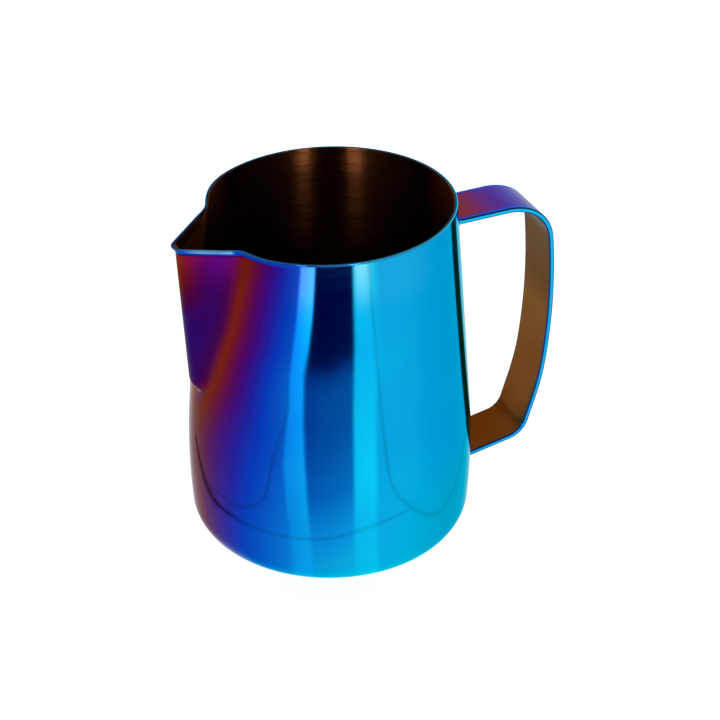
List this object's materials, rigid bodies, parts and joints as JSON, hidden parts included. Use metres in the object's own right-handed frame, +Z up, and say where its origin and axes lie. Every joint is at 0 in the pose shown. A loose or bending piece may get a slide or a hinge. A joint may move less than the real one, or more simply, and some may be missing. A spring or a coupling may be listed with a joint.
{
  "type": "milk frothing pitcher",
  "caption": "Round-bellied steel milk pitcher with a flat-cheeked pointed pouring spout and a bent flat strap handle opposite the spout.",
  "frame": {"origin": "centre of the flat ring the jug stands on, on the axis of the round body", "axes": "+Z up, +X towards the handle, the spout points along -X, +Y completes a right-handed frame"},
  "size_m": [0.1234, 0.0898, 0.113],
  "materials": {
    "jug_steel": "mirror polished outside, brushed inside, iridescent vapour coating from cyan and blue to violet and copper",
    "strap_steel": "polished, same coating, copper to violet on the faces and cyan along the edges",
    "weld_steel": "polished down and coated with the rest"
  },
  "bodies": {
    "root": {"jug_body": "jug_steel", "handle_strap": "strap_steel", "upper_weld": "weld_steel", "lower_weld": "weld_steel"}
  },
  "joints": []
}
